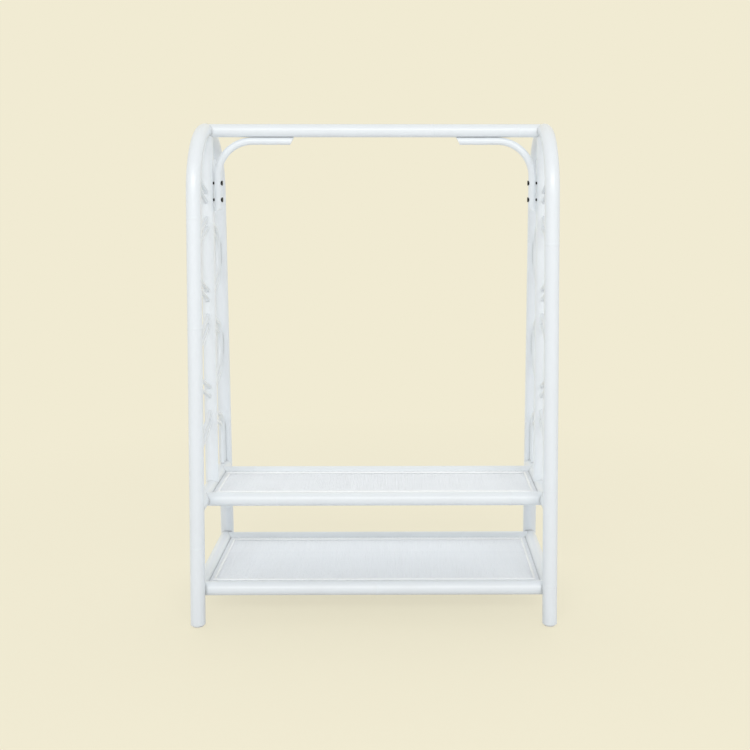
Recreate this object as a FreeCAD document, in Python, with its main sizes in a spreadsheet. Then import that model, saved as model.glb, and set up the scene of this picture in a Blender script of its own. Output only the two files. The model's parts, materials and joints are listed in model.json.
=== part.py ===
import FreeCAD, Part
import math
import os
import re
import Sketcher
from FreeCAD import Placement, Rotation, Vector

# A free-standing clothes rack of painted rattan poles: two arched end frames filled with bent canes,
# a hanging rail between the arches, and two shelves with woven mats.
# X runs along the hanging rail, Y from front to back, Z up. The origin is on the floor, mid-rack.

doc = FreeCAD.newDocument("clothes_rack")

# Driving sizes in millimetres and degrees

SIZES = (
    ("frame_spacing", 770, "between the centre planes of the two end frames"),
    ("rack_height", 1100, "floor to the top of the arches"),
    ("pole_diameter", 32, "arch poles"),
    ("arch_radius", 148, "centre line of the arch's round top"),
    ("leg_splay", 2.3, "lean of each leg from upright"),
    ("bar_diameter", 31, "cross bars between the legs"),
    ("post_diameter", 30, "upright post in the middle of each end frame"),
    ("rail_diameter", 30, "hanging rail"),
    ("shelf_rail_diameter", 30, "long rails of the shelves"),
    ("cope_trim", 8, "a coped end stops this far from its partner's centre line"),
    ("upper_shelf_height", 258, "floor to the centres of the upper shelf's poles"),
    ("lower_shelf_height", 73, "floor to the centres of the lower shelf's poles"),
    ("upper_rail_inset", 70, "a leg's centre line to the upper shelf rail beside it"),
    ("lower_rail_inset", 24, "a leg's centre line to the lower shelf rail beside it"),
    ("mat_rise", 6.5, "top of the mat above the shelf rails' centres"),
    ("mat_thickness", 2, "woven mat"),
    ("board_thickness", 6, "board under the mat"),
    ("trim_width", 6, "half-round beads that hold the mat down"),
    ("trim_inset", 13, "between a long bead and the shelf rail beside it"),
    ("trim_end_inset", 8, "between a side bead and the cross bar beside it"),
    ("cane_diameter", 9, "bent canes in the end frames"),
    ("cane_spacing", 21, "between the two canes of a nested pair"),
    ("bow_slope", 20, "lean of a bow's ends where they meet the post"),
    ("bow_gap", 26, "between neighbouring bows on the post"),
    ("bow_flat", 5, "straight run of a bow between its two rounds, along the leg"),
    ("crown_drop", 167, "arch top's centre line to the crown canes on the post"),
    ("crown_reach", 95, "middle of the post to the turn of the outer crown cane"),
    ("crown_angle", 34, "where the outer crown cane meets the arch, from its springing"),
    ("crown_bend", 60, "round of the outer crown cane"),
    ("base_rise", 184, "upper cross bar to the outer base cane on the post"),
    ("base_bend", 60, "round of the outer base cane"),
    ("brace_diameter", 17, "bent corner braces under the rail"),
    ("brace_reach", 200, "end frame to the tip of a brace along the rail"),
    ("brace_drop", 185, "rail's centre to the tip of a brace along the post"),
    ("brace_bend", 80, "round of the brace"),
    ("brace_gap", 2, "between the brace and the post"),
    ("brace_bevel", 28, "slant of a brace's tips from a square cut"),
    ("brace_bolt_drop", 119, "rail's centre to the upper bolt of a brace"),
    ("brace_bolt_pitch", 38, "between the two bolts of a brace"),
    ("brace_screw_reach", 125, "end frame to the nearer screw into the rail"),
    ("brace_screw_pitch", 40, "between the two screws of a brace"),
    ("bolt_diameter", 6, "bolts"),
    ("bolt_head_diameter", 11, "bolt heads"),
    ("bolt_head_height", 4, "bolt heads"),
    ("bolt_head_sink", 1, "heads of the bolts through arches and cross bars, below the wood around them"),
    ("socket_diameter", 4.6, "six-sided socket, across its corners"),
    ("socket_depth", 2.5, "six-sided socket"),
    ("hole_clearance", 0.4, "bolt hole over bolt, and seat over head"),
    ("insert_diameter", 10, "threaded inserts"),
    ("insert_length", 16, "threaded inserts"),
    ("insert_depth", 2, "insert below the wood around it"),
    ("screw_diameter", 4, "brace screws"),
    ("screw_head_diameter", 8, "brace screw heads"),
    ("screw_head_height", 2.5, "brace screw heads"),
    ("screw_sink", 4, "brace screw heads below the cane"),
    ("screw_bite", 14, "length of a brace screw in the rail"),
    ("post_dowel_diameter", 10, "dowels in the ends of the posts"),
    ("bar_dowel_diameter", 6, "dowels in the ends of the cross bars, one above the other"),
    ("bar_dowel_offset", 8, "cross bar's centre to each of its dowels"),
    ("dowel_bite", 9, "depth of a dowel in the side of its pole"),
    ("dowel_tail", 24, "depth of a dowel in the coped end"),
    ("glide_diameter", 24, "glides under the feet"),
    ("glide_height", 4, "glides under the feet"),
    ("glide_pin_diameter", 5, "pin of a glide"),
    ("glide_pin_length", 14, "pin of a glide"),
)

sheet = doc.addObject("Spreadsheet::Sheet", "Sizes")
for row, (alias, size, note) in enumerate(SIZES, start=1):
    sheet.set(f"A{row}", alias)
    sheet.set(f"B{row}", str(size))
    sheet.set(f"C{row}", note)
    sheet.setAlias(f"B{row}", alias)
doc.recompute()

ALIASES = {alias for alias, size, note in SIZES}


def formula(text):
    """The same formula with each size's name pointed at the sheet."""
    return re.sub(r"[a-z_]+", lambda word: f"Sizes.{word[0]}" if word[0] in ALIASES else word[0], text)


def number(text):
    """What a formula comes to with the sheet's present sizes."""
    found = sheet.evalExpression(formula(text))
    return float(getattr(found, "Value", found))


# Places that several pieces share, as formulas of the sizes

FRAME_X = "(frame_spacing / 2)"
APEX_Z = "(rack_height - pole_diameter / 2)"
ARCH_CENTRE_Z = f"({APEX_Z} - arch_radius)"
POLE_RADIUS = "(pole_diameter / 2)"
BAR_RADIUS = "(bar_diameter / 2)"
POST_RADIUS = "(post_diameter / 2)"
RAIL_RADIUS = "(rail_diameter / 2)"
SHELF_RAIL_RADIUS = "(shelf_rail_diameter / 2)"
BRACE_RADIUS = "(brace_diameter / 2)"
BRACE_RUN_Z = f"({APEX_Z} - {RAIL_RADIUS} - {BRACE_RADIUS})"
BRACE_INBOARD = f"({POST_RADIUS} + brace_gap + {BRACE_RADIUS})"

SIDES = (("left", "-1"), ("right", "1"))
HALVES = (("front", "-1"), ("back", "1"))

ALONG_X = Rotation(Vector(0, 1, 0), 90)
ALONG_Y = Rotation(Vector(1, 0, 0), -90)
ALONG_Z = Rotation()
FLAT_SIDE_DOWN_X = Rotation(Vector(0, 1, 0), Vector(0, 0, 1), Vector(1, 0, 0), "XYZ")
FLAT_SIDE_DOWN_Y = Rotation(Vector(-1, 0, 0), Vector(0, 0, 1), Vector(0, 1, 0), "XYZ")


def leg_y(height):
    """Distance of a leg's centre line from the middle of the rack at a height."""
    return f"(arch_radius / cos(leg_splay) + ({ARCH_CENTRE_Z} - ({height})) * tan(leg_splay))"


# Each shelf's name, the height of its poles, and its rails' distance from the middle of the rack

SHELVES = (("upper", "upper_shelf_height", f"({leg_y('upper_shelf_height')} - upper_rail_inset)"),
           ("lower", "lower_shelf_height", f"({leg_y('lower_shelf_height')} - lower_rail_inset)"))


# Ways of making pieces

def bind(thing, **formulas):
    for name, text in formulas.items():
        thing.setExpression(name, formula(text))


def put(thing, x, y, z, turn=ALONG_Z):
    thing.Placement = Placement(Vector(), turn)
    bind(thing, **{"Placement.Base.x": x, "Placement.Base.y": y, "Placement.Base.z": z})


def rod(name, diameter, length, x, y, z, turn):
    thing = doc.addObject("Part::Cylinder", name)
    bind(thing, Radius=f"({diameter}) / 2", Height=length)
    put(thing, x, y, z, turn)
    return thing


def half_round(name, width, length, x, y, z, turn):
    thing = rod(name, width, length, x, y, z, turn)
    thing.Angle = 180
    return thing


def block(name, length, width, height, x, y, z):
    thing = doc.addObject("Part::Box", name)
    bind(thing, Length=length, Width=width, Height=height)
    put(thing, x, y, z)
    return thing


def joined(name, things):
    thing = doc.addObject("Part::MultiFuse", name)
    thing.Shapes = things
    return thing


def group(name, things):
    thing = doc.addObject("Part::Compound", name)
    thing.Links = things
    return thing


def cut(name, base, tools):
    thing = doc.addObject("Part::Cut", name)
    thing.Base = base
    thing.Tool = tools[0] if len(tools) == 1 else joined(f"{name}_tools", tools)
    return thing


def own_plane(body, role):
    return next(plane for plane in body.Origin.OriginFeatures if plane.Role == role)


def fix_point(sketch, geometry, end, u, v, name):
    """Holds one point of a sketch at two formulas' values, or on an axis where the value is 0."""
    for kind, text, axis, axis_line in (("DistanceX", u, "u", -2), ("DistanceY", v, "v", -1)):
        if text == "0":
            sketch.addConstraint(Sketcher.Constraint("PointOnObject", geometry, end, axis_line))
            continue
        index = sketch.addConstraint(Sketcher.Constraint(kind, -1, 1, geometry, end, number(text)))
        sketch.renameConstraint(index, f"{name}_{axis}")
        bind(sketch, **{f"Constraints.{name}_{axis}": text})


def fix_radius(sketch, arc, text, name):
    index = sketch.addConstraint(Sketcher.Constraint("Radius", arc, number(text)))
    sketch.renameConstraint(index, name)
    bind(sketch, **{f"Constraints.{name}": text})


def round_corner(before, corner, after, radius):
    """The arc that rounds a corner, and which of its ends comes first along the path."""
    back = (before - corner).normalize()
    onward = (after - corner).normalize()
    half_angle = back.getAngle(onward) / 2
    reach = radius / math.tan(half_angle)
    centre = corner + (back + onward).normalize() * (radius / math.sin(half_angle))
    spokes = [corner + back * reach - centre, corner + onward * reach - centre]
    turns_left = (back.cross(onward)).z < 0
    if not turns_left:
        spokes.reverse()
    first, last = (math.atan2(spoke.y, spoke.x) for spoke in spokes)
    if last < first:
        last += 2 * math.pi
    arc = Part.ArcOfCircle(Part.Circle(centre, Vector(0, 0, 1), radius), first, last)
    return arc, (1, 2) if turns_left else (2, 1)


def rounded_path(sketch, corners, bends):
    """Straight runs between corners, each inner corner rounded, all held by formulas."""
    points = [Vector(number(u), number(v), 0) for u, v in corners]
    arcs = [round_corner(*points[i:i + 3], number(bend)) for i, bend in enumerate(bends)]
    run_start = points[0]
    for arc, ends in arcs:
        arrive, leave = (arc.StartPoint, arc.EndPoint)[::1 if ends[0] == 1 else -1]
        sketch.addGeometry(Part.LineSegment(run_start, arrive), False)
        sketch.addGeometry(arc, False)
        run_start = leave
    last_run = sketch.addGeometry(Part.LineSegment(run_start, points[-1]), False)
    for i, (arc, ends) in enumerate(arcs):
        run, bend, next_run = 2 * i, 2 * i + 1, 2 * i + 2
        sketch.addConstraint(Sketcher.Constraint("Tangent", run, 2, bend, ends[0]))
        sketch.addConstraint(Sketcher.Constraint("Tangent", bend, ends[1], next_run, 1))
        mark = sketch.addGeometry(Part.Point(points[i + 1]), True)
        sketch.addConstraint(Sketcher.Constraint("PointOnObject", mark, 1, run))
        sketch.addConstraint(Sketcher.Constraint("PointOnObject", mark, 1, next_run))
        fix_point(sketch, mark, 1, *corners[i + 1], f"corner{i + 1}")
        fix_radius(sketch, bend, bends[i], f"bend{i + 1}")
    fix_point(sketch, 0, 1, *corners[0], "start")
    fix_point(sketch, last_run, 2, *corners[-1], "finish")


def arch_path(sketch):
    """Two splayed legs with a round top that runs into both."""
    splay = math.radians(number("leg_splay"))
    radius = number("arch_radius")
    centre = Vector(0, number(ARCH_CENTRE_Z), 0)
    spoke = Vector(math.cos(splay), math.sin(splay), 0) * radius
    right_top = centre + spoke
    left_top = centre + Vector(-spoke.x, spoke.y, 0)
    foot = Vector(number(leg_y("0")), 0, 0)
    ring = Part.Circle(centre, Vector(0, 0, 1), radius)
    left_leg = sketch.addGeometry(Part.LineSegment(-foot, left_top), False)
    top = sketch.addGeometry(Part.ArcOfCircle(ring, splay, math.pi - splay), False)
    right_leg = sketch.addGeometry(Part.LineSegment(right_top, foot), False)
    sketch.addConstraint(Sketcher.Constraint("Tangent", left_leg, 2, top, 2))
    sketch.addConstraint(Sketcher.Constraint("Tangent", top, 1, right_leg, 1))
    sketch.addConstraint(Sketcher.Constraint("Symmetric", left_leg, 1, right_leg, 2, -2))
    fix_point(sketch, top, 3, "0", ARCH_CENTRE_Z, "centre")
    fix_point(sketch, right_leg, 2, leg_y("0"), "0", "foot")
    fix_radius(sketch, top, "arch_radius", "radius")


def bent_pole(name, diameter, plane, draw_path, *path_words):
    """A round pole along a path drawn on one of its own body's planes."""
    body = doc.addObject("PartDesign::Body", name)
    path = body.newObject("Sketcher::SketchObject", f"{name}_path")
    path.AttachmentSupport = [(own_plane(body, plane), "")]
    path.MapMode = "FlatFace"
    draw_path(path, *path_words)
    doc.recompute()
    section = body.newObject("Sketcher::SketchObject", f"{name}_section")
    section.AttachmentSupport = [(path, "Edge1")]
    section.MapMode = "NormalToEdge"
    ring = section.addGeometry(Part.Circle(Vector(), Vector(0, 0, 1), number(diameter) / 2), False)
    section.addConstraint(Sketcher.Constraint("Coincident", ring, 3, -1, 1))
    fix_radius(section, ring, f"({diameter}) / 2", "radius")
    pipe = body.newObject("PartDesign::AdditivePipe", f"{name}_pipe")
    pipe.Profile = section
    pipe.Spine = (path, [f"Edge{i + 1}" for i in range(len(path.Shape.Edges))])
    doc.recompute()
    wanted = math.pi * (number(diameter) / 2) ** 2 * path.Shape.Length
    if abs(body.Shape.Volume / wanted - 1) > 0.002:
        raise RuntimeError(f"{name} is not a whole pole")
    return body


# Places across an end frame: inboard distances are measured from its centre plane

def frame_x(side, inboard):
    return f"{side} * ({FRAME_X} - ({inboard}))"


def cross_rod(name, side, diameter, inner_start, inner_end, y, z):
    """A rod along X between two inboard distances of one end frame."""
    start = inner_start if side == "-1" else inner_end
    length = f"({inner_end}) - ({inner_start})"
    return rod(name, diameter, length, frame_x(side, start), y, z, ALONG_X)


def bolt(name, side, seat, tip, y, z):
    """A socket-head bolt along X; its head lies beyond the seat, away from the tip."""
    head_inboard = number(seat) > number(tip)
    if head_inboard:
        crown = f"({seat}) + bolt_head_height"
        shank = cross_rod(f"{name}_shank", side, "bolt_diameter", tip, seat, y, z)
        head = cross_rod(f"{name}_head", side, "bolt_head_diameter", seat, crown, y, z)
        socket_start = f"({crown}) - socket_depth"
    else:
        crown = f"({seat}) - bolt_head_height"
        shank = cross_rod(f"{name}_shank", side, "bolt_diameter", seat, tip, y, z)
        head = cross_rod(f"{name}_head", side, "bolt_head_diameter", crown, seat, y, z)
        socket_start = crown
    socket_end = f"({socket_start}) + socket_depth"
    socket = doc.addObject("Part::Prism", f"{name}_socket")
    socket.Polygon = 6
    bind(socket, Circumradius="socket_diameter / 2", Height="socket_depth")
    put(socket, frame_x(side, socket_start if side == "-1" else socket_end), y, z, ALONG_X)
    return cut(name, joined(f"{name}_solid", [shank, head]), [socket])


def bolt_seat(radius):
    """Distance from a pole's centre to the flat that a bolt head rests on."""
    return f"sqrt(pow({radius}; 2) - pow(bolt_head_diameter / 2; 2))"


def threaded_insert(name, side, start, end, y, z):
    sleeve = cross_rod(f"{name}_sleeve", side, "insert_diameter", start, end, y, z)
    bore = cross_rod(f"{name}_bore", side, "bolt_diameter", start, end, y, z)
    return cut(name, sleeve, [bore])


# Bent canes that fill the end frames

CANE_RISE = "tan(bow_slope)"
PAIR_STEP = "(cane_spacing / cos(bow_slope))"
CROWN_Z = f"({APEX_Z} - crown_drop)"
BASE_Z = "(upper_shelf_height + base_rise)"
BOW_HEIGHT = f"(({CROWN_Z} - {BASE_Z} - 3 * bow_gap) / 2)"
BOW_TOPS = {"upper": f"({CROWN_Z} - bow_gap)", "lower": f"({CROWN_Z} - 2 * bow_gap - {BOW_HEIGHT})"}


def beside_leg(level, rise, inset):
    """Where a cane that leaves the post at a level turns to run along the leg's inner side."""
    reach = f"((pole_diameter + cane_diameter) / 2 + ({inset}))"
    room = f"((arch_radius - {reach}) / cos(leg_splay) + ({ARCH_CENTRE_Z} - ({level})) * tan(leg_splay))"
    return f"({room} / (1 + ({rise}) * {CANE_RISE} * tan(leg_splay)))"


def bow_corners(top, bottom, inset):
    top_reach = beside_leg(top, "-1", inset)
    bottom_reach = beside_leg(bottom, "1", inset)
    return (("0", top),
            (top_reach, f"{top} - {top_reach} * {CANE_RISE}"),
            (bottom_reach, f"{bottom} + {bottom_reach} * {CANE_RISE}"),
            ("0", bottom))


def bow_paths(top):
    """The outer and the inner cane of a nested pair that leaves the post and comes back to it."""
    bottom = f"({top} - {BOW_HEIGHT})"
    outer = bow_corners(top, bottom, "0")
    inner = bow_corners(f"({top} - {PAIR_STEP})", f"({bottom} + {PAIR_STEP})", "cane_spacing")
    depth = f"(({outer[1][1]}) - ({outer[2][1]}))"
    bend = f"(({depth} - bow_flat) / 2 / tan(45 - bow_slope / 2))"
    inner_bend = f"({bend} - cane_spacing)"
    return (outer, (bend, bend)), (inner, (inner_bend, inner_bend))


def crown_paths():
    """The two canes that rise from the post to the arch."""
    paths = []
    for level, reach, angle, bend in (
            (CROWN_Z, "crown_reach", "crown_angle", "crown_bend"),
            (f"({CROWN_Z} + {PAIR_STEP})", "(crown_reach - cane_spacing)",
             "(crown_angle + cane_spacing / arch_radius * 180 / pi)", "(crown_bend - cane_spacing)")):
        corners = (("0", level),
                   (reach, f"{level} + {reach} * {CANE_RISE}"),
                   (f"arch_radius * cos({angle})", f"{ARCH_CENTRE_Z} + arch_radius * sin({angle})"))
        paths.append((corners, (bend,)))
    return paths


def base_paths():
    """The two canes that fall from the post, along the leg, to the upper cross bar."""
    paths = []
    for level, inset, bend in ((BASE_Z, "0", "base_bend"),
                               (f"({BASE_Z} - {PAIR_STEP})", "cane_spacing", "(base_bend - cane_spacing)")):
        reach = beside_leg(level, "-1", inset)
        aside = f"((pole_diameter + cane_diameter) / 2 + {inset}) / cos(leg_splay)"
        corners = (("0", level),
                   (reach, f"{level} - {reach} * {CANE_RISE}"),
                   (f"{leg_y('upper_shelf_height')} - {aside}", "upper_shelf_height"))
        paths.append((corners, (bend,)))
    return paths


def cane_pair(name, side, half, paths, tools):
    """Two nested canes in one half of an end frame, coped onto what they meet."""
    canes = []
    for rank, (corners, bends) in zip(("outer", "inner"), paths):
        stock = bent_pole(f"{name}_{rank}_stock", "cane_diameter", "YZ_Plane", rounded_path, corners, bends)
        put(stock, frame_x(side, "0"), "0", "0", Rotation(Vector(0, 0, 1), 0 if half == "1" else 180))
        canes.append(cut(f"{name}_{rank}", stock, tools))
    return group(name, canes)


# What is gathered while the pieces are made: stock before cutting, what is cut from it, groups of fasteners

stocks = {}
cutters = {}
groups = {}


def drill(piece, *tools):
    cutters.setdefault(piece, []).extend(tools)


def share(node, piece):
    groups.setdefault(node, []).append(piece)


def end_bolt(family, name, side, pole, pole_radius, rail, y, z):
    """A bolt through a pole's side into an insert in the end of the rail that butts against it."""
    seat = f"bolt_head_height + bolt_head_sink - {bolt_seat(pole_radius)}"
    insert_start = f"{pole_radius} + insert_depth"
    insert_end = f"{insert_start} + insert_length"
    share(f"{family}_bolts", bolt(f"{name}_bolt", side, seat, insert_end, y, z))
    share(f"{family}_inserts", threaded_insert(f"{name}_insert", side, insert_start, insert_end, y, z))
    drill(pole,
          cross_rod(f"{name}_hole", side, "bolt_diameter + hole_clearance", seat, f"2 * {pole_radius}", y, z),
          cross_rod(f"{name}_seat", side, "bolt_head_diameter + hole_clearance",
                    f"-2 * {pole_radius}", seat, y, z))
    drill(rail, cross_rod(f"{name}_socket", side, "insert_diameter", "0", insert_end, y, z))


def add_long_rails():
    """The hanging rail and the four shelf rails, from end frame to end frame."""
    length = "frame_spacing - 2 * cope_trim"
    start = f"cope_trim - {FRAME_X}"
    stocks["hanging_rail"] = rod("hanging_rail_stock", "rail_diameter", length, start, "0", APEX_Z, ALONG_X)
    for shelf, height, offset in SHELVES:
        for half_name, half in HALVES:
            name = f"{shelf}_{half_name}_rail"
            stocks[name] = rod(f"{name}_stock", "shelf_rail_diameter", length,
                               start, f"{half} * {offset}", height, ALONG_X)


def add_arch(side_name, side):
    """The arched pole, cut level at its feet, with a glide under each."""
    name = f"arch_{side_name}"
    plane_x = frame_x(side, "0")
    stocks[name] = bent_pole(f"{name}_stock", "pole_diameter", "YZ_Plane", arch_path)
    put(stocks[name], plane_x, "0", "0")
    foot_reach = f"({leg_y('0')} + pole_diameter)"
    drill(name, block(f"{name}_floor_trim", "2 * pole_diameter", f"2 * {foot_reach}",
                      "pole_diameter + glide_height",
                      f"{plane_x} - pole_diameter", f"-{foot_reach}", "-pole_diameter"))
    for half_name, half in HALVES:
        foot_y = f"{half} * {leg_y('glide_height')}"
        glide = f"glide_{side_name}_{half_name}"
        disc = rod(f"{glide}_disc", "glide_diameter", "glide_height", plane_x, foot_y, "0", ALONG_Z)
        pin = rod(f"{glide}_pin", "glide_pin_diameter", "glide_height + glide_pin_length",
                  plane_x, foot_y, "0", ALONG_Z)
        share("foot_glides", joined(glide, [disc, pin]))
        drill(name, pin)
    end_bolt("rail", f"rail_{side_name}", side, name, POLE_RADIUS, "hanging_rail", "0", APEX_Z)
    drill("hanging_rail", stocks[name])


def add_post(side_name, side):
    """The upright post, with a dowel into the arch and one into the upper cross bar."""
    name = f"post_{side_name}"
    plane_x = frame_x(side, "0")
    stocks[name] = rod(f"{name}_stock", "post_diameter", f"{APEX_Z} - upper_shelf_height - 2 * cope_trim",
                       plane_x, "0", "upper_shelf_height + cope_trim", ALONG_Z)
    drill(name, stocks[f"arch_{side_name}"], stocks[f"upper_bar_{side_name}"])
    drill("hanging_rail", stocks[name])
    for end, partner, start in (
            ("top", f"arch_{side_name}", f"{APEX_Z} - {POLE_RADIUS} - dowel_tail"),
            ("foot", f"upper_bar_{side_name}", f"upper_shelf_height + {BAR_RADIUS} - dowel_bite")):
        dowel = rod(f"{name}_{end}_dowel", "post_dowel_diameter", "dowel_bite + dowel_tail",
                    plane_x, "0", start, ALONG_Z)
        share("post_dowels", dowel)
        drill(name, dowel)
        drill(partner, dowel)


def add_cross_bar(side_name, side, shelf, height, offset):
    """A cross bar between the legs, with two dowels in each end and a bolt into each shelf rail."""
    name = f"{shelf}_bar_{side_name}"
    arch = f"arch_{side_name}"
    plane_x = frame_x(side, "0")
    reach = f"({leg_y(height)} - cope_trim)"
    stocks[name] = rod(f"{name}_stock", "bar_diameter", f"2 * {reach}", plane_x, f"-{reach}", height, ALONG_Y)
    drill(name, stocks[arch])
    for half_name, half in HALVES:
        for tier_name, tier in (("low", "-1"), ("high", "1")):
            dowel_z = f"{height} + {tier} * bar_dowel_offset"
            leg_face = f"({leg_y(dowel_z)} - {POLE_RADIUS} / cos(leg_splay))"
            start = f"{leg_face} - dowel_tail" if half == "1" else f"-{leg_face} - dowel_bite"
            dowel = rod(f"{name}_dowel_{half_name}_{tier_name}", "bar_dowel_diameter",
                        "dowel_bite + dowel_tail", plane_x, start, dowel_z, ALONG_Y)
            share(f"{shelf}_bar_dowels", dowel)
            drill(name, dowel)
            drill(arch, dowel)
        rail = f"{shelf}_{half_name}_rail"
        end_bolt("shelf", f"{rail}_{side_name}", side, name, BAR_RADIUS, rail, f"{half} * {offset}", height)
        drill(rail, stocks[name])


def add_brace(side_name, side):
    """A bent corner brace with bevelled tips, bolted to the post and screwed to the hanging rail."""
    name = f"brace_{side_name}"
    post = f"post_{side_name}"
    corners = ((BRACE_INBOARD, f"{APEX_Z} - brace_drop"), (BRACE_INBOARD, BRACE_RUN_Z),
               ("brace_reach", BRACE_RUN_Z))
    stocks[name] = bent_pole(f"{name}_stock", "brace_diameter", "XZ_Plane", rounded_path,
                             corners, ("brace_bend",))
    put(stocks[name], frame_x(side, "0"), "0", "0", Rotation(Vector(0, 0, 1), 0 if side == "-1" else 180))

    # A tip is longest on the side that lies against the post or the rail; a wide disc cuts the slant
    towards_middle = Rotation(Vector(0, -float(side), 0), 90)
    for tip, inboard, z, lean in (
            ("foot", f"{BRACE_INBOARD} - {BRACE_RADIUS}", f"{APEX_Z} - brace_drop", "180 - brace_bevel"),
            ("end", "brace_reach", f"{BRACE_RUN_Z} + {BRACE_RADIUS}", "90 + brace_bevel")):
        disc = rod(f"{name}_{tip}_bevel", "4 * brace_diameter", "2 * brace_diameter",
                   frame_x(side, inboard), "0", z, towards_middle)
        bind(disc, **{"Placement.Rotation.Angle": lean})
        drill(name, disc)

    seat = f"{BRACE_INBOARD} + {bolt_seat(BRACE_RADIUS)}"
    insert_end = f"{POST_RADIUS} - insert_depth"
    insert_start = f"{insert_end} - insert_length"
    for tier, rank in (("high", "0"), ("low", "1")):
        spot = f"{name}_{tier}"
        z = f"{APEX_Z} - brace_bolt_drop - {rank} * brace_bolt_pitch"
        share("brace_bolts", bolt(f"{spot}_bolt", side, seat, insert_start, "0", z))
        share("brace_inserts", threaded_insert(f"{spot}_insert", side, insert_start, insert_end, "0", z))
        drill(name,
              cross_rod(f"{spot}_hole", side, "bolt_diameter + hole_clearance", "0", seat, "0", z),
              cross_rod(f"{spot}_seat", side, "bolt_head_diameter + hole_clearance",
                        seat, f"{seat} + brace_diameter", "0", z))
        drill(post, cross_rod(f"{spot}_socket", side, "insert_diameter",
                              insert_start, f"2 * {POST_RADIUS}", "0", z))

    underside = f"{BRACE_RUN_Z} - {BRACE_RADIUS}"
    for place, rank in (("near", "0"), ("far", "1")):
        spot = f"{name}_{place}_screw"
        x = frame_x(side, f"brace_screw_reach + {rank} * brace_screw_pitch")
        head_z = f"{underside} + screw_sink"
        shank = rod(f"{spot}_shank", "screw_diameter", "brace_diameter - screw_sink + screw_bite",
                    x, "0", head_z, ALONG_Z)
        head = rod(f"{spot}_head", "screw_head_diameter", "screw_head_height", x, "0", head_z, ALONG_Z)
        screw = joined(spot, [shank, head])
        share("brace_screws", screw)
        drill(name, screw, rod(f"{spot}_sink", "screw_head_diameter", "screw_sink + screw_head_height",
                               x, "0", underside, ALONG_Z))
        drill("hanging_rail", screw)


def add_canes(side_name, side):
    """The bent canes in the front and back halves of an end frame."""
    arch = stocks[f"arch_{side_name}"]
    post = stocks[f"post_{side_name}"]
    bar = stocks[f"upper_bar_{side_name}"]
    for half_name, half in HALVES:
        spot = f"{side_name}_{half_name}"
        nodes.append(cane_pair(f"crown_canes_{spot}", side, half, crown_paths(), [post, arch]))
        for bow, top in BOW_TOPS.items():
            nodes.append(cane_pair(f"{bow}_bows_{spot}", side, half, bow_paths(top), [post]))
        nodes.append(cane_pair(f"base_canes_{spot}", side, half, base_paths(), [post, bar]))


def add_panel(shelf, height, offset):
    """A shelf's board and woven mat, fitted to the poles around them, with half-round beads on the mat."""
    rails = [stocks[f"{shelf}_{half_name}_rail"] for half_name, half in HALVES]
    bars = [stocks[f"{shelf}_bar_{side_name}"] for side_name, side in SIDES]
    mat_top = f"({height} + mat_rise)"
    mat_bottom = f"({mat_top} - mat_thickness)"
    board_bottom = f"({mat_bottom} - board_thickness)"
    for name, thickness, bottom in ((f"{shelf}_mat", "mat_thickness", mat_bottom),
                                    (f"{shelf}_board", "board_thickness", board_bottom)):
        stocks[name] = block(f"{name}_stock", "frame_spacing", f"2 * {offset}", thickness,
                             f"-{FRAME_X}", f"-{offset}", bottom)
        drill(name, *rails, *bars)
    bead_y = f"({offset} - {SHELF_RAIL_RADIUS} - trim_inset - trim_width / 2)"
    bead_length = "(frame_spacing - bar_diameter - 2 * trim_end_inset)"
    for half_name, half in HALVES:
        nodes.append(half_round(f"{shelf}_{half_name}_bead", "trim_width", bead_length,
                                f"-{bead_length} / 2", f"{half} * {bead_y}", mat_top, FLAT_SIDE_DOWN_X))
    side_length = f"(2 * {bead_y} - trim_width)"
    for side_name, side in SIDES:
        nodes.append(half_round(f"{shelf}_{side_name}_bead", "trim_width", side_length,
                                f"{side} * ({bead_length} - trim_width) / 2", f"-{side_length} / 2",
                                mat_top, FLAT_SIDE_DOWN_Y))


# The assembly

nodes = []
add_long_rails()
for side_name, side in SIDES:
    add_arch(side_name, side)
    for shelf, height, offset in SHELVES:
        add_cross_bar(side_name, side, shelf, height, offset)
    add_post(side_name, side)
    add_brace(side_name, side)
    add_canes(side_name, side)
for shelf, height, offset in SHELVES:
    add_panel(shelf, height, offset)
for name, stock in stocks.items():
    nodes.append(cut(name, stock, cutters[name]))
for name, pieces in groups.items():
    nodes.append(group(name, pieces))

# Every object has to be sound before anything is written

doc.recompute()
for thing in doc.Objects:
    if {"Invalid", "Error"} & set(thing.State):
        raise RuntimeError(f"{thing.Name} failed")
for node in nodes:
    pieces = len(getattr(node, "Links", ())) or 1
    if node.Shape.isNull() or not node.Shape.isValid() or len(node.Shape.Solids) != pieces:
        raise RuntimeError(f"{node.Label} is not {pieces} sound solids")

os.makedirs("parts", exist_ok=True)
for node in nodes:
    node.Shape.exportStep(os.path.join("parts", f"{node.Label}.step"))
print(len(nodes), "nodes")
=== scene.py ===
import json
import math

import bpy
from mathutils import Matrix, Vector


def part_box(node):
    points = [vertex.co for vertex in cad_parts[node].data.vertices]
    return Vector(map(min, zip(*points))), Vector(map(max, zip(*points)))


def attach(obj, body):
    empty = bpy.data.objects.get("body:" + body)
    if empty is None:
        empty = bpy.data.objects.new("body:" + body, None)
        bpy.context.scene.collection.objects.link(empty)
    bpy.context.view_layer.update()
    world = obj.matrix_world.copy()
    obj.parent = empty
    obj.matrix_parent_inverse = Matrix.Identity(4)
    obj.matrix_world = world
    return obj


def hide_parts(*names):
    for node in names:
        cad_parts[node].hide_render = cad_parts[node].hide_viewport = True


# A free-standing clothes rack of white painted rattan with two woven shelves.
# Metres, in the frame's own axes: X along the hanging rail, Y from front to back, Z up.

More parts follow.
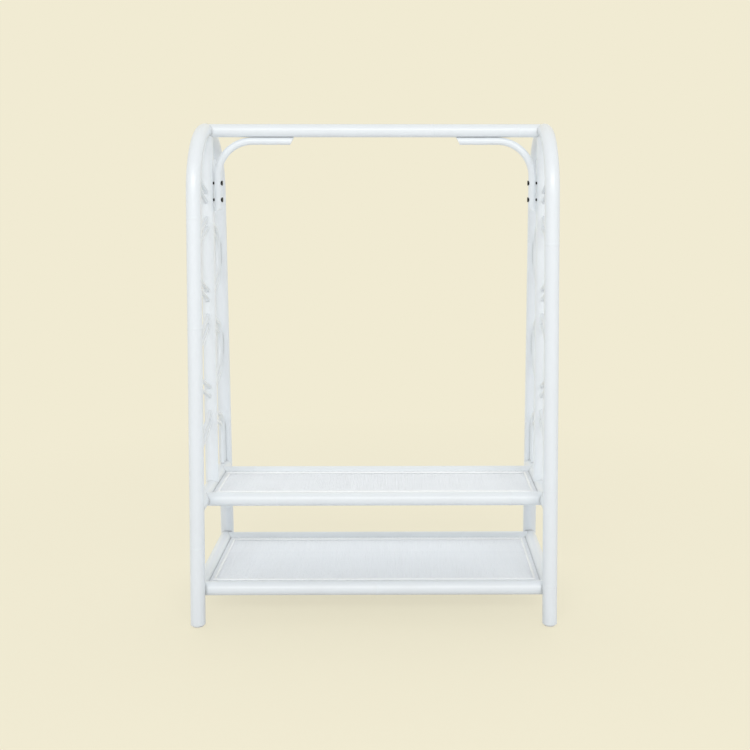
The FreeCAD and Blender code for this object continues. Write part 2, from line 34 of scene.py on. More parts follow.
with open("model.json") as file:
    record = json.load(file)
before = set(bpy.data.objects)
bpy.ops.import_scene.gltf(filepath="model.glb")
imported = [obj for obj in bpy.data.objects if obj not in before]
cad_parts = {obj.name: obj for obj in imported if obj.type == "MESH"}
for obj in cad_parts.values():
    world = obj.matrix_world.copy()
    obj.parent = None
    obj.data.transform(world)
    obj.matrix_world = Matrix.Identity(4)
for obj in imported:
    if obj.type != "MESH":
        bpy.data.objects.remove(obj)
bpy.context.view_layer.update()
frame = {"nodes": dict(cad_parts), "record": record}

# Colours, as linear light

WHITE_PAINT = (0.833, 0.88, 0.915, 1.0)
# A lighter copy of the white paint for the posts: painted light, for the light that the legs in front keep
# from them
LIT_WHITE_POST = (0.885, 0.93, 0.96, 1.0)
THIN_PAINT = (0.785, 0.815, 0.84, 1.0)
# A whiter copy of the paint for the beads and brad heads: a painted highlight, so that they show as bright
# lines
LIT_WHITE_BEAD = (0.93, 0.95, 0.965, 1.0)
# The grey of the painted shade in the poles' joints
PAINTED_CREASE_SHADE = (0.42, 0.44, 0.45, 1.0)
WHITE_STRAND = (0.925, 0.955, 0.985, 1.0)
GREY_STRAND = (0.885, 0.92, 0.95, 1.0)
BOARD_PAINT = (0.79, 0.81, 0.83, 1.0)
BLACK_OXIDE = (0.018, 0.018, 0.02, 1.0)
RUBBED_OXIDE = (0.07, 0.068, 0.066, 1.0)
BRASS_YELLOW = (0.72, 0.52, 0.22, 1.0)
ZINC_GREY = (0.60, 0.61, 0.62, 1.0)
BEECH_BROWN = (0.60, 0.43, 0.26, 1.0)
NYLON_WHITE = (0.83, 0.83, 0.81, 1.0)
CREAM = (0.879, 0.831, 0.651, 1.0)
WHITE_FLOOR = (0.69, 0.69, 0.69, 1.0)
WHITE_LIGHT = (1.0, 1.0, 1.0, 1.0)

# The painted poles: fibres as repeats per metre, gloss, and how far the painted shade reaches from a joint

FIBRES_ALONG = 9.0
FIBRES_ACROSS = 420.0
BENT_FIBRES = 160.0
PAINT_COAT = 0.5
COAT_ROUGHNESS = 0.28
CREASE_SHADE_REACH = 0.007
CREASE_SHADE_SAMPLES = 8

# The rack's bends, which its boxes do not show

ARCH_RADIUS = 0.148
LEG_SPLAY = math.radians(2.3)
ARCH_STEPS = 24

# The weave of the shelf mats: thickness and rise as shares of the mat's, drift as a share of the pitch

WEFT_PITCH = 0.0035
WEFT_WIDTH = 0.00345
WEFT_THICKNESS = 0.5
WEFT_RISE = 0.25
WEFT_SEED = 11
WARP_PITCH = 0.008
WARP_WIDTH = 0.0026
WARP_THICKNESS = 0.4
WARP_RISE = 0.05
WARP_SEED = 12
STEPS_PER_CROSSING = 2
STRAND_SIDES = 6
STRAND_DRIFT = 0.28
DRIFTS_PER_METRE = 9.0
DRIFT_STEP = 7.3

# Growth rings, which differ a little in lean and size

RING_HEIGHT = 0.0008
RING_BREADTH = 0.004
RING_SINK = 0.0005
RING_WANDER = 0.6
RING_STEPS = 28
RIDGE_STEPS = 12
RING_LEAN = 0.06
RING_TURN = 3.0
LEAN_SEED = 5
SMALLEST_RING = 0.988
LARGEST_RING = 1.004
SIZE_SEED = 9
RINGS_PER_ARCH = 10
RINGS_PER_POST = 3
RINGS_PER_BAR = 2
RINGS_PER_HANGING_RAIL = 4
RINGS_PER_SHELF_RAIL = 3

# Heads of the brads that hold the beads, and the share of a bead between its first and last brad

BRAD_RADIUS = 0.0013
BRAD_RISE = 0.00035
BRAD_STEPS = 10
BRAD_ROWS = 6
BRADS_PER_LONG_BEAD = 8
BRADS_PER_SIDE_BEAD = 3
LONG_BEAD_SHARE = 0.94
SIDE_BEAD_SHARE = 0.8

# The floor, and the distances between which the rack's shadow fades

FLOOR_REACH = 40.0
SHADOW_NEAR = 0.6
SHADOW_FAR = 1.8
SHADOW_FAINTNESS = 0.75

# The studio's soft light by direction: level, more from behind, less from overhead

LEVEL_LIGHT = 0.92
BACK_LIGHT = 0.60
HIGH_BACK_LIGHT = 1.0
OVERHEAD_LOSS = 0.58

# The camera, and the softbox above it, which points at the middle of the rack

CAMERA_PLACE = (0.070, -2.300, 0.955)
CAMERA_DOWN = math.radians(5.145)
CAMERA_ASIDE = math.radians(-0.384)
CAMERA_LENS = 47.97
CAMERA_FILM = 36.0
CAMERA_SHIFT = (-0.050, -0.130)
SOFTBOX_PLACE = Vector((0.10, -3.50, 2.50))
SOFTBOX_AIM = Vector((0.0, 0.0, 0.55))
SOFTBOX_WIDTH = 4.0
SOFTBOX_HEIGHT = 0.7
SOFTBOX_WATTS = 64.0

# Names of the rack's places

SIDES = ("left", "right")
SHELVES = ("upper", "lower")
HALVES = ("front", "back")


# Ways of making node trees

def add(tree, kind, inputs=None, **settings):
    """A node with its settings, and with a value or a link on each input that is named or numbered."""
    made = tree.nodes.new(kind)
    for name, value in settings.items():
        setattr(made, name, value)
    for key, value in (inputs or {}).items():
        if isinstance(value, bpy.types.NodeSocket):
            tree.links.new(value, made.inputs[key])
        else:
            made.inputs[key].default_value = value
    return made


def calc(tree, operation, *values):
    """The result of a sum on numbers or sockets."""
    return add(tree, "ShaderNodeMath", dict(enumerate(values)), operation=operation).outputs[0]


def join(tree, x=0.0, y=0.0, z=0.0):
    """A vector made of numbers or sockets."""
    return add(tree, "ShaderNodeCombineXYZ", {0: x, 1: y, 2: z}).outputs[0]


def split(tree, vector):
    """The three numbers of a vector."""
    return add(tree, "ShaderNodeSeparateXYZ", {0: vector}).outputs


def stretch(tree, place, scale):
    """Coordinates with more or fewer repeats each way."""
    return add(tree, "ShaderNodeMapping", {"Vector": place, "Scale": scale}).outputs[0]


def ramp(tree, value, low=0.3, high=0.7, start=0.0, finish=1.0):
    """A value stretched from one range to another; the first is where most of a noise lies."""
    inputs = {"Value": value, "From Min": low, "From Max": high, "To Min": start, "To Max": finish}
    return add(tree, "ShaderNodeMapRange", inputs).outputs["Result"]


def blend_colour(tree, amount, first, second):
    inputs = {"Factor": amount, 6: first, 7: second}
    return add(tree, "ShaderNodeMix", inputs, data_type="RGBA").outputs[2]


def noise(tree, where, scale=1.0, detail=3.0, roughness=0.55):
    inputs = {"Vector": where, "Scale": scale, "Detail": detail, "Roughness": roughness}
    return add(tree, "ShaderNodeTexNoise", inputs).outputs["Fac"]


def bump(tree, height, strength, depth):
    inputs = {"Height": height, "Strength": strength, "Distance": depth}
    return add(tree, "ShaderNodeBump", inputs).outputs["Normal"]


def dim(colour, share):
    """A darker shade of a colour."""
    red, green, blue, solid = colour
    return (share * red, share * green, share * blue, solid)


def new_material(name):
    """An empty material with its shader, and the place of each point on the object."""
    material = bpy.data.materials.new(name)
    material.use_nodes = True
    tree = material.node_tree
    tree.nodes.clear()
    shader = add(tree, "ShaderNodeBsdfPrincipled")
    add(tree, "ShaderNodeOutputMaterial", {"Surface": shader.outputs[0]})
    place = add(tree, "ShaderNodeTexCoord").outputs["Object"]
    return material, tree, shader, place


def feed(tree, shader, colour, roughness, normal):
    """Links what varies over a surface to its shader."""
    tree.links.new(colour, shader.inputs["Base Color"])
    tree.links.new(roughness, shader.inputs["Roughness"])
    tree.links.new(normal, shader.inputs["Normal"])


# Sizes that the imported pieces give

def middle(node):
    low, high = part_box(node)
    return (low + high) / 2


def half_size(node, axis):
    """Half of a piece's box along an axis, which is the radius of a pole across it."""
    low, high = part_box(node)
    return (high[axis] - low[axis]) / 2


POLE_RADIUS = half_size("arch_left", 0)
ARCH_CENTRE_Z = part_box("arch_left")[1].z - POLE_RADIUS - ARCH_RADIUS


# Finishes

def along_arch(tree, place):
    """Coordinates for fibres that run up the legs and round the arch."""
    x, y, z = split(tree, place)
    above = calc(tree, "MAXIMUM", calc(tree, "SUBTRACT", z, ARCH_CENTRE_Z), 0.0)
    squares = calc(tree, "ADD", calc(tree, "POWER", y, 2.0), calc(tree, "POWER", above, 2.0))
    outward = calc(tree, "SQRT", squares)
    along = calc(tree, "MULTIPLY", z, FIBRES_ALONG / FIBRES_ACROSS)
    return stretch(tree, join(tree, x, outward, along), (FIBRES_ACROSS, FIBRES_ACROSS, FIBRES_ACROSS))


def along_pole(tree, place, run):
    """Coordinates for fibres that run with a pole: x, y or z, along an arch, or any way on a bent cane."""
    if run == "arch":
        return along_arch(tree, place)
    if run in ("cane", "brace"):
        return stretch(tree, place, (BENT_FIBRES, BENT_FIBRES, BENT_FIBRES))
    return stretch(tree, place, [FIBRES_ALONG if axis == run else FIBRES_ACROSS for axis in "xyz"])


def painted_rattan(name, run, paint, joint_shaded):
    """Satin paint over rattan, with faint fibres, patches of thin paint, and painted shade in its joints.
    """
    material, tree, shader, place = new_material(name)
    fibres = noise(tree, along_pole(tree, place, run), detail=4.0)
    patches = noise(tree, place, scale=11.0, detail=2.0)
    peel = noise(tree, place, scale=700.0, detail=2.0)
    worn = ramp(tree, patches, low=0.35, high=0.75, finish=0.55)
    grooved = ramp(tree, fibres, high=0.8, start=0.2)
    colour = blend_colour(tree, calc(tree, "MULTIPLY", worn, grooved), paint, THIN_PAINT)
    if joint_shaded:
        # Painted shade: near a joint, where other pieces close in, the colour darkens towards a grey
        around = {"Distance": CREASE_SHADE_REACH}
        openness = add(tree, "ShaderNodeAmbientOcclusion", around, samples=CREASE_SHADE_SAMPLES).outputs["AO"]
        colour = blend_colour(tree, ramp(tree, openness, high=0.9), PAINTED_CREASE_SHADE, colour)
    height = calc(tree, "MULTIPLY_ADD", peel, 0.35, fibres)
    gloss = ramp(tree, patches, start=0.36, finish=0.44)
    feed(tree, shader, colour, gloss, bump(tree, height, strength=0.35, depth=0.0004))
    shader.inputs["Coat Weight"].default_value = PAINT_COAT
    shader.inputs["Coat Roughness"].default_value = COAT_ROUGHNESS
    return material


def woven_strand():
    """White painted strands, each a little different, with fine splits along them."""
    material, tree, shader, place = new_material("woven_cane")
    strand = add(tree, "ShaderNodeAttribute", attribute_name="strand").outputs["Fac"]
    splits = noise(tree, place, scale=900.0)
    patches = noise(tree, place, scale=14.0, detail=2.0)
    amount = calc(tree, "ADD", calc(tree, "MULTIPLY", strand, 0.55), calc(tree, "MULTIPLY", patches, 0.4))
    colour = blend_colour(tree, amount, WHITE_STRAND, GREY_STRAND)
    gloss = ramp(tree, splits, start=0.5, finish=0.68)
    feed(tree, shader, colour, gloss, bump(tree, splits, strength=0.3, depth=0.0003))
    return material


def painted_board():
    """Brushed white paint on the boards under the mats."""
    material, tree, shader, place = new_material("painted_board")
    strokes = noise(tree, stretch(tree, place, (8, 220, 60)))
    patches = noise(tree, place, scale=9.0)
    colour = blend_colour(tree, patches, BOARD_PAINT, THIN_PAINT)
    gloss = ramp(tree, strokes, start=0.5, finish=0.65)
    feed(tree, shader, colour, gloss, bump(tree, strokes, strength=0.3, depth=0.0004))
    return material


def metal(name, colour, rubbed, metallic, smooth, rough, scale):
    """Metal with small worn patches."""
    material, tree, shader, place = new_material(name)
    wear = noise(tree, place, scale, detail=5.0, roughness=0.65)
    colour = blend_colour(tree, ramp(tree, wear, low=0.5, high=0.72), colour, rubbed)
    gloss = ramp(tree, wear, start=smooth, finish=rough)
    feed(tree, shader, colour, gloss, bump(tree, wear, strength=0.15, depth=0.0002))
    shader.inputs["Metallic"].default_value = metallic
    return material


def bare_beech():
    """Unpainted dowels with short dark flecks."""
    material, tree, shader, place = new_material("bare_beech")
    flecks = noise(tree, stretch(tree, place, (500, 120, 120)))
    colour = blend_colour(tree, flecks, BEECH_BROWN, dim(BEECH_BROWN, 0.75))
    gloss = ramp(tree, flecks, start=0.55, finish=0.7)
    feed(tree, shader, colour, gloss, bump(tree, flecks, strength=0.2, depth=0.0003))
    return material


def moulded_nylon():
    """Scuffed white glides with a fine moulded grain."""
    material, tree, shader, place = new_material("white_nylon")
    grain = noise(tree, place, scale=1200.0)
    scuffs = noise(tree, place, scale=60.0)
    colour = blend_colour(tree, scuffs, NYLON_WHITE, dim(NYLON_WHITE, 0.85))
    gloss = ramp(tree, scuffs, start=0.45, finish=0.6)
    feed(tree, shader, colour, gloss, bump(tree, grain, strength=0.15, depth=0.0002))
    return material


# Geometry trees

def new_tree(name, **inputs):
    """A geometry tree with named inputs; gives the tree and its input sockets by name."""
    tree = bpy.data.node_groups.new(name, "GeometryNodeTree")
    for label, kind in inputs.items():
        tree.interface.new_socket(name=label, in_out="INPUT", socket_type=f"NodeSocket{kind}")
    tree.interface.new_socket(name="Geometry", in_out="OUTPUT", socket_type="NodeSocketGeometry")
    sockets = add(tree, "NodeGroupInput").outputs
    return tree, {label: sockets[label] for label in inputs}


def end_tree(tree, geometry, material):
    smooth = add(tree, "GeometryNodeSetShadeSmooth", {"Geometry": geometry}).outputs[0]
    real = add(tree, "GeometryNodeRealizeInstances", {0: smooth}).outputs[0]
    finish = add(tree, "GeometryNodeSetMaterial", {"Geometry": real, "Material": material}).outputs[0]
    add(tree, "NodeGroupOutput", {0: finish})


def grow(name, tree, source, values):
    """Runs a tree on an object, and gives the result as a plain mesh object."""
    bpy.context.scene.collection.objects.link(source)
    modifier = source.modifiers.new("grow", "NODES")
    modifier.node_group = tree
    for socket in tree.interface.items_tree:
        if socket.in_out == "INPUT" and socket.name in values:
            modifier[socket.identifier] = values[socket.name]
    depsgraph = bpy.context.evaluated_depsgraph_get()
    mesh = bpy.data.meshes.new_from_object(source.evaluated_get(depsgraph), depsgraph=depsgraph)
    source.modifiers.remove(modifier)
    bpy.data.objects.remove(source)
    mesh.name = name
    piece = bpy.data.objects.new(name, mesh)
    bpy.context.scene.collection.objects.link(piece)
    return piece


def chance(tree, low, high, seed, number=None):
    """A random number between two limits, for each point or for each number."""
    inputs = {2: low, 3: high, "Seed": seed}
    if number is not None:
        inputs["ID"] = number
    return add(tree, "FunctionNodeRandomValue", inputs, data_type="FLOAT").outputs[1]


def circle(tree, steps, radius):
    inputs = {"Resolution": steps, "Radius": radius}
    return add(tree, "GeometryNodeCurvePrimitiveCircle", inputs).outputs[0]


def oval(tree, steps, radius, x_scale, y_scale):
    """A closed section with its own scale each way."""
    shape = join(tree, x_scale, y_scale, 1.0)
    inputs = {"Geometry": circle(tree, steps, radius), "Scale": shape}
    return add(tree, "GeometryNodeTransform", inputs).outputs[0]


def strand_tree():
    """Parallel strands that pass over and under the strands across them."""
    tree, given = new_tree("woven_strands", Run="Float", Strands="Int", Pitch="Float", Crossings="Int",
                           CrossPitch="Float", Width="Float", Thickness="Float", Rise="Float", Steps="Int",
                           Turn="Float", Place="Vector", Seed="Int", Material="Material")
    half_row = calc(tree, "DIVIDE", calc(tree, "SUBTRACT", given["Strands"], 1.0), 2.0)
    half_cross = calc(tree, "DIVIDE", calc(tree, "SUBTRACT", given["Crossings"], 1.0), 2.0)
    half_run = calc(tree, "DIVIDE", given["Run"], 2.0)

    # One straight line for each strand, with a few points for each crossing
    index = add(tree, "GeometryNodeInputIndex").outputs[0]
    row = calc(tree, "MULTIPLY", calc(tree, "SUBTRACT", index, half_row), given["Pitch"])
    starts = add(tree, "GeometryNodePoints", {"Count": given["Strands"], "Position": join(tree, y=row)})
    first, last = join(tree, calc(tree, "MULTIPLY", half_run, -1.0)), join(tree, half_run)
    line = add(tree, "GeometryNodeCurvePrimitiveLine", {"Start": first, "End": last}).outputs[0]
    count = calc(tree, "MULTIPLY_ADD", given["Crossings"], given["Steps"], 1.0)
    line = add(tree, "GeometryNodeResampleCurve", {"Curve": line, "Count": count}).outputs[0]
    strands = add(tree, "GeometryNodeInstanceOnPoints", {"Points": starts.outputs[0], "Instance": line})
    strands = add(tree, "GeometryNodeRealizeInstances", {0: strands.outputs[0]}).outputs[0]

    # Each point goes up over one crossing strand and down under the next, and drifts a little aside
    x, y, z = split(tree, add(tree, "GeometryNodeInputPosition").outputs[0])
    number = calc(tree, "ROUND", calc(tree, "ADD", calc(tree, "DIVIDE", y, given["Pitch"]), half_row))
    crossing = calc(tree, "ADD", calc(tree, "DIVIDE", x, given["CrossPitch"]), half_cross)
    wave = calc(tree, "COSINE", calc(tree, "MULTIPLY", calc(tree, "ADD", number, crossing), math.pi))
    lift = calc(tree, "MULTIPLY", wave, given["Rise"])
    wander = {"W": calc(tree, "MULTIPLY", number, DRIFT_STEP), "Scale": DRIFTS_PER_METRE}
    drift = add(tree, "ShaderNodeTexNoise", wander, noise_dimensions="4D").outputs["Fac"]
    most = calc(tree, "MULTIPLY", given["Pitch"], STRAND_DRIFT)
    aside = calc(tree, "MULTIPLY", calc(tree, "SUBTRACT", drift, 0.5), most)
    shade = chance(tree, 0.0, 1.0, given["Seed"], number)
    noted = {"Geometry": strands, "Name": "strand", "Value": shade}
    strands = add(tree, "GeometryNodeStoreNamedAttribute", noted,
                  data_type="FLOAT", domain="POINT").outputs[0]
    offset = join(tree, y=aside, z=lift)
    strands = add(tree, "GeometryNodeSetPosition", {"Geometry": strands, "Offset": offset}).outputs[0]

    # The flat oval section of the strands, swept along them
    strands = add(tree, "GeometryNodeSetCurveNormal", {"Curve": strands}, mode="Z_UP").outputs[0]
    section = oval(tree, STRAND_SIDES, 0.5, given["Width"], given["Thickness"])
    swept = {"Curve": strands, "Profile Curve": section, "Fill Caps": True}
    mesh = add(tree, "GeometryNodeCurveToMesh", swept).outputs[0]
    turn = join(tree, z=given["Turn"])
    placed = add(tree, "GeometryNodeTransform", {
        "Geometry": mesh, "Translation": given["Place"], "Rotation": turn}).outputs[0]
    end_tree(tree, placed, given["Material"])
    return tree


def ring_tree():
    """Raised growth rings at uneven distances along rattan poles."""
    tree, given = new_tree("growth_rings", Poles="Geometry", Rings="Int", Radius="Float", Height="Float",
                           Breadth="Float", Wander="Float", Seed="Int", Material="Material")
    poles = add(tree, "GeometryNodeAttributeDomainSize", {0: given["Poles"]}, component="CURVE")
    count = calc(tree, "MULTIPLY", poles.outputs["Spline Count"], given["Rings"])

    # The pole of each ring, and its share of the way along it
    index = add(tree, "GeometryNodeInputIndex").outputs[0]
    pole = calc(tree, "FLOOR", calc(tree, "DIVIDE", calc(tree, "ADD", index, 0.5), given["Rings"]))
    rank = calc(tree, "SUBTRACT", index, calc(tree, "MULTIPLY", pole, given["Rings"]))
    stray = calc(tree, "MULTIPLY", chance(tree, -0.5, 0.5, given["Seed"], index), given["Wander"])
    share = calc(tree, "DIVIDE", calc(tree, "ADD", calc(tree, "ADD", rank, 0.5), stray), given["Rings"])
    sampled = {"Curves": given["Poles"], "Factor": share, "Curve Index": pole}
    spot = add(tree, "GeometryNodeSampleCurve", sampled, mode="FACTOR", use_all_curves=False)
    points = add(tree, "GeometryNodePoints", {"Count": count, "Position": spot.outputs["Position"]})

    # A low ridge round the pole, a little askew
    loop = circle(tree, RING_STEPS, given["Radius"])
    loop = add(tree, "GeometryNodeSetCurveNormal", {"Curve": loop}, mode="Z_UP").outputs[0]
    ridge = oval(tree, RIDGE_STEPS, 1.0, given["Height"], given["Breadth"])
    ring = add(tree, "GeometryNodeCurveToMesh", {"Curve": loop, "Profile Curve": ridge}).outputs[0]
    tangent = {"Vector": spot.outputs["Tangent"]}
    facing = add(tree, "FunctionNodeAlignRotationToVector", tangent, axis="Z").outputs[0]
    most = Vector((RING_LEAN, RING_LEAN, RING_TURN))
    leans = {0: -most, 1: most, "Seed": LEAN_SEED}
    lean = add(tree, "FunctionNodeRandomValue", leans, data_type="FLOAT_VECTOR").outputs[0]
    turned = {"Rotation": facing, "Rotate By": lean}
    facing = add(tree, "FunctionNodeRotateRotation", turned, rotation_space="LOCAL").outputs[0]
    size = chance(tree, SMALLEST_RING, LARGEST_RING, SIZE_SEED)
    rings = add(tree, "GeometryNodeInstanceOnPoints", {
        "Points": points.outputs[0], "Instance": ring, "Rotation": facing, "Scale": size}).outputs[0]
    end_tree(tree, rings, given["Material"])
    return tree


def brad_tree():
    """Small round heads of brads, evenly spaced along lines."""
    tree, given = new_tree("brad_heads", Lines="Geometry", Heads="Int", Radius="Float", Rise="Float",
                           Material="Material")
    spread = {"Curve": given["Lines"], "Count": given["Heads"]}
    points = add(tree, "GeometryNodeCurveToPoints", spread).outputs[0]
    round_ball = {"Segments": BRAD_STEPS, "Rings": BRAD_ROWS, "Radius": 1.0}
    ball = add(tree, "GeometryNodeMeshUVSphere", round_ball).outputs[0]
    shape = join(tree, given["Radius"], given["Radius"], given["Rise"])
    head = add(tree, "GeometryNodeTransform", {"Geometry": ball, "Scale": shape}).outputs[0]
    heads = add(tree, "GeometryNodeInstanceOnPoints", {"Points": points, "Instance": head}).outputs[0]
    end_tree(tree, heads, given["Material"])
    return tree


# Paths along the poles

def straight_path(node, axis):
    """The centre line of a straight pole between its ends."""
    low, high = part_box(node)
    ends = [middle(node), middle(node)]
    ends[0][axis] = low[axis]
    ends[1][axis] = high[axis]
    return ends


def arch_path(node):
    """Up one leg, round the arch and down the other leg."""
    foot_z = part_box(node)[0].z
    centre = Vector((middle(node).x, 0.0, ARCH_CENTRE_Z))
    foot_y = ARCH_RADIUS / math.cos(LEG_SPLAY) + centre.z * math.tan(LEG_SPLAY)
    points = [Vector((centre.x, -foot_y, foot_z))]
    for step in range(ARCH_STEPS + 1):
        angle = math.pi - LEG_SPLAY - step / ARCH_STEPS * (math.pi - 2 * LEG_SPLAY)
        points.append(centre + ARCH_RADIUS * Vector((0.0, math.cos(angle), math.sin(angle))))
    points.append(Vector((centre.x, foot_y, foot_z)))
    return points


def lines_object(name, paths):
    """A curve object with one run of straight lines for each path."""
    curve = bpy.data.curves.new(name, "CURVE")
    curve.dimensions = "3D"
    for path in paths:
        spline = curve.splines.new("POLY")
        spline.points.add(len(path) - 1)
        for point, place in zip(spline.points, path):
            point.co = (*place, 1.0)
    return bpy.data.objects.new(name, curve)


def settle(piece, slot, *replaced):
    """Puts a finished piece on the rack."""
    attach(piece, "root")
    if replaced:
        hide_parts(*replaced)


# Finishes of the imported pieces

# Every run except the posts and the braces gets painted shade in its joints
RATTAN_RUNS = {"x": (WHITE_PAINT, True), "y": (WHITE_PAINT, True), "arch": (WHITE_PAINT, True),
               # The posts take the lighter copy of the paint, as painted light
               "cane": (WHITE_PAINT, True), "z": (LIT_WHITE_POST, False), "brace": (WHITE_PAINT, False)}
rattan = {run: painted_rattan(f"painted_rattan_{run}", run, paint, joint_shaded)
          for run, (paint, joint_shaded) in RATTAN_RUNS.items()}
# The beads take the whiter copy of the paint, as a painted highlight
lit_bead_finishes = {run: painted_rattan(f"lit_white_bead_{run}", run, LIT_WHITE_BEAD, False) for run in ("x", "y")}
finishes = {
    "woven_cane": woven_strand(),
    "painted_board": painted_board(),
    "black_steel": metal("black_steel", BLACK_OXIDE, RUBBED_OXIDE,
                         metallic=0.9, smooth=0.28, rough=0.5, scale=420.0),
    "brass": metal("brass", BRASS_YELLOW, dim(BRASS_YELLOW, 0.7),
                   metallic=1.0, smooth=0.25, rough=0.4, scale=300.0),
    "screw_steel": metal("screw_steel", ZINC_GREY, dim(ZINC_GREY, 0.8),
                         metallic=1.0, smooth=0.3, rough=0.5, scale=350.0),
    "bare_beech": bare_beech(),
    "white_nylon": moulded_nylon(),
}


def rattan_run(node):
    """Which way the fibres of a painted piece run."""
    if node.startswith("arch_"):
        return "arch"
    if node.startswith("post_"):
        return "z"
    if "_bar_" in node or node.endswith(("_left_bead", "_right_bead")):
        return "y"
    if node.endswith(("_rail", "_front_bead", "_back_bead")):
        return "x"
    if node.startswith("brace_"):
        return "brace"
    return "cane"


for part in frame["record"]["subparts"]:
    node, slot = part["node"], part["material_slot"]
    if node.endswith("_bead"):
        finish = lit_bead_finishes[rattan_run(node)]
    elif slot == "painted_rattan":
        finish = rattan[rattan_run(node)]
    else:
        finish = finishes[slot]
    for material_slot in frame["nodes"][node].material_slots:
        material_slot.material = finish


# Woven mats

def weave(name, tree, mat, values):
    """The strands of a mat that run one way."""
    low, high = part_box(mat)
    source = bpy.data.objects.new("seed", bpy.data.meshes.new("seed"))
    shared = {"Steps": STEPS_PER_CROSSING, "Place": (low + high) / 2, "Material": finishes["woven_cane"]}
    return grow(name, tree, source, {**shared, **values})


strands = strand_tree()
for shelf in SHELVES:
    mat = f"{shelf}_mat"
    length, width, thickness = (2 * half_size(mat, axis) for axis in range(3))
    wefts = math.floor(width / WEFT_PITCH)
    warps = math.floor(length / WARP_PITCH)
    weft = weave(f"{shelf}_mat_weft", strands, mat, {
        "Run": warps * WARP_PITCH, "Strands": wefts, "Pitch": WEFT_PITCH, "Crossings": warps,
        "CrossPitch": WARP_PITCH, "Width": WEFT_WIDTH, "Thickness": WEFT_THICKNESS * thickness,
        "Rise": WEFT_RISE * thickness, "Turn": 0.0, "Seed": WEFT_SEED})
    warp = weave(f"{shelf}_mat_warp", strands, mat, {
        "Run": wefts * WEFT_PITCH, "Strands": warps, "Pitch": WARP_PITCH, "Crossings": wefts,
        "CrossPitch": WEFT_PITCH, "Width": WARP_WIDTH, "Thickness": WARP_THICKNESS * thickness,
        "Rise": WARP_RISE * thickness, "Turn": math.pi / 2, "Seed": WARP_SEED})
    settle(weft, "woven_cane", mat)
    settle(warp, "woven_cane")

# Growth rings on the poles: paths, rings on each, radius and fibres

rings = ring_tree()
bars = [straight_path(f"{shelf}_bar_{side}", 1) for shelf in SHELVES for side in SIDES]
shelf_rails = [straight_path(f"{shelf}_{half}_rail", 0) for shelf in SHELVES for half in HALVES]
pole_families = {
    "arch_rings": ([arch_path(f"arch_{side}") for side in SIDES], RINGS_PER_ARCH, POLE_RADIUS, "arch"),
    "post_rings": ([straight_path(f"post_{side}", 2) for side in SIDES], RINGS_PER_POST,
                   half_size("post_left", 1), "z"),
    "bar_rings": (bars, RINGS_PER_BAR, half_size("upper_bar_left", 2), "y"),
    "hanging_rail_rings": ([straight_path("hanging_rail", 0)], RINGS_PER_HANGING_RAIL,
                           half_size("hanging_rail", 2), "x"),
    "shelf_rail_rings": (shelf_rails, RINGS_PER_SHELF_RAIL, half_size("upper_front_rail", 2), "x"),
}
for seed, (name, (paths, count, radius, run)) in enumerate(pole_families.items()):
    piece = grow(name, rings, lines_object(name, paths), {
        "Rings": count, "Radius": radius - RING_SINK, "Height": RING_HEIGHT, "Breadth": RING_BREADTH,
        "Wander": RING_WANDER, "Seed": seed, "Material": rattan[run]})
    settle(piece, "painted_rattan")


# Brad heads along the beads

def brad_line(bead, axis, share):
    """A line on the top of a bead, along the middle share of it."""
    ends = straight_path(bead, axis)
    for end in ends:
        end[axis] *= share
        end.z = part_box(bead)[1].z
    return ends


brads = brad_tree()
for shelf in SHELVES:
    long_lines = [brad_line(f"{shelf}_{half}_bead", 0, LONG_BEAD_SHARE) for half in HALVES]
    side_lines = [brad_line(f"{shelf}_{side}_bead", 1, SIDE_BEAD_SHARE) for side in SIDES]
    for name, lines, count in ((f"{shelf}_long_brads", long_lines, BRADS_PER_LONG_BEAD),
                               (f"{shelf}_side_brads", side_lines, BRADS_PER_SIDE_BEAD)):
        # The brad heads take the beads' whiter paint, the same painted highlight
        piece = grow(name, brads, lines_object(name, lines), {
            "Heads": count, "Radius": BRAD_RADIUS, "Rise": BRAD_RISE, "Material": lit_bead_finishes["x"]})
        settle(piece, "painted_rattan")


# Floor, light and camera

def in_sight(tree):
    """One for what is looked at, straight, in gloss or through glass, and nothing for other light."""
    path = add(tree, "ShaderNodeLightPath").outputs
    seen = calc(tree, "MAXIMUM", path["Is Camera Ray"], path["Is Glossy Ray"])
    return calc(tree, "MAXIMUM", seen, path["Is Transmission Ray"])


def cream_floor():
    """Cream to look at, with the rack's shadow; neutral in the light that it throws back."""
    material = bpy.data.materials.new("cream_floor")
    material.use_nodes = True
    tree = material.node_tree
    tree.nodes.clear()
    seen = in_sight(tree)
    lit = add(tree, "ShaderNodeBsdfDiffuse", {"Color": blend_colour(tree, seen, WHITE_FLOOR, CREAM)})
    even = add(tree, "ShaderNodeEmission", {"Color": CREAM, "Strength": 1.0})
    place = add(tree, "ShaderNodeTexCoord").outputs["Object"]
    away = add(tree, "ShaderNodeVectorMath", {0: place}, operation="LENGTH").outputs["Value"]
    fading = ramp(tree, away, SHADOW_NEAR, SHADOW_FAR, SHADOW_FAINTNESS)
    share = calc(tree, "MULTIPLY", seen, fading)
    mixed = add(tree, "ShaderNodeMixShader", {0: share, 1: lit.outputs[0], 2: even.outputs[0]})
    add(tree, "ShaderNodeOutputMaterial", {"Surface": mixed.outputs[0]})
    return material


def lay_floor():
    mesh = bpy.data.meshes.new("floor")
    corners = [(-FLOOR_REACH, -FLOOR_REACH, 0), (FLOOR_REACH, -FLOOR_REACH, 0),
               (FLOOR_REACH, FLOOR_REACH, 0), (-FLOOR_REACH, FLOOR_REACH, 0)]
    mesh.from_pydata(corners, [], [(0, 1, 2, 3)])
    mesh.materials.append(cream_floor())
    floor = bpy.data.objects.new("floor", mesh)
    bpy.context.scene.collection.objects.link(floor)


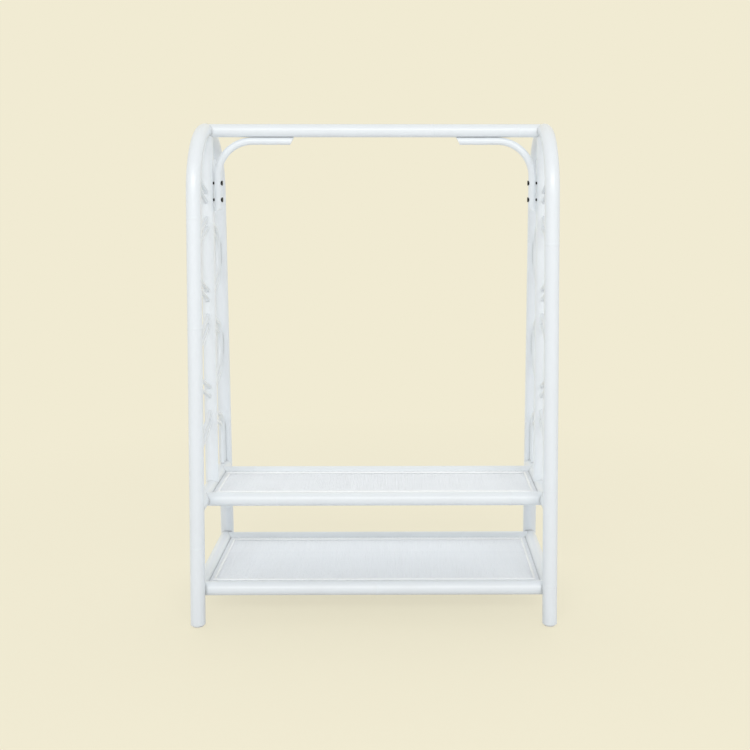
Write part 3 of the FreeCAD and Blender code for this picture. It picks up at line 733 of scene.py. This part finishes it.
def light_studio():
    """Soft light from all round, with a cream backdrop to look at."""
    world = bpy.data.worlds.new("studio")
    bpy.context.scene.world = world
    world.use_nodes = True
    tree = world.node_tree
    tree.nodes.clear()
    x, y, z = split(tree, add(tree, "ShaderNodeTexCoord").outputs["Generated"])
    behind = calc(tree, "MAXIMUM", y, 0.0)
    above = calc(tree, "MAXIMUM", z, 0.0)
    rear = calc(tree, "MULTIPLY", behind, calc(tree, "MULTIPLY_ADD", above, HIGH_BACK_LIGHT, BACK_LIGHT))
    level = calc(tree, "ADD", rear, calc(tree, "MULTIPLY_ADD", above, -OVERHEAD_LOSS, LEVEL_LIGHT))
    soft = add(tree, "ShaderNodeBackground", {"Color": WHITE_LIGHT, "Strength": level})
    cream = add(tree, "ShaderNodeBackground", {"Color": CREAM, "Strength": 1.0})
    mixed = add(tree, "ShaderNodeMixShader", {0: in_sight(tree), 1: soft.outputs[0], 2: cream.outputs[0]})
    add(tree, "ShaderNodeOutputWorld", {"Surface": mixed.outputs[0]})


def hang_softbox():
    lamp = bpy.data.lights.new("softbox", "AREA")
    lamp.shape = "RECTANGLE"
    lamp.size = SOFTBOX_WIDTH
    lamp.size_y = SOFTBOX_HEIGHT
    lamp.energy = SOFTBOX_WATTS
    softbox = bpy.data.objects.new("softbox", lamp)
    softbox.location = SOFTBOX_PLACE
    softbox.rotation_euler = (SOFTBOX_AIM - SOFTBOX_PLACE).to_track_quat("-Z", "Y").to_euler()
    bpy.context.scene.collection.objects.link(softbox)


def place_camera():
    camera = bpy.data.objects.new("camera", bpy.data.cameras.new("camera"))
    camera.data.sensor_width = CAMERA_FILM
    camera.data.lens = CAMERA_LENS
    camera.data.shift_x, camera.data.shift_y = CAMERA_SHIFT
    camera.location = CAMERA_PLACE
    camera.rotation_euler = (math.pi / 2 - CAMERA_DOWN, 0.0, CAMERA_ASIDE)
    bpy.context.scene.collection.objects.link(camera)
    bpy.context.scene.camera = camera


lay_floor()
light_studio()
hang_softbox()
place_camera()
bpy.context.scene.view_settings.view_transform = "Standard"
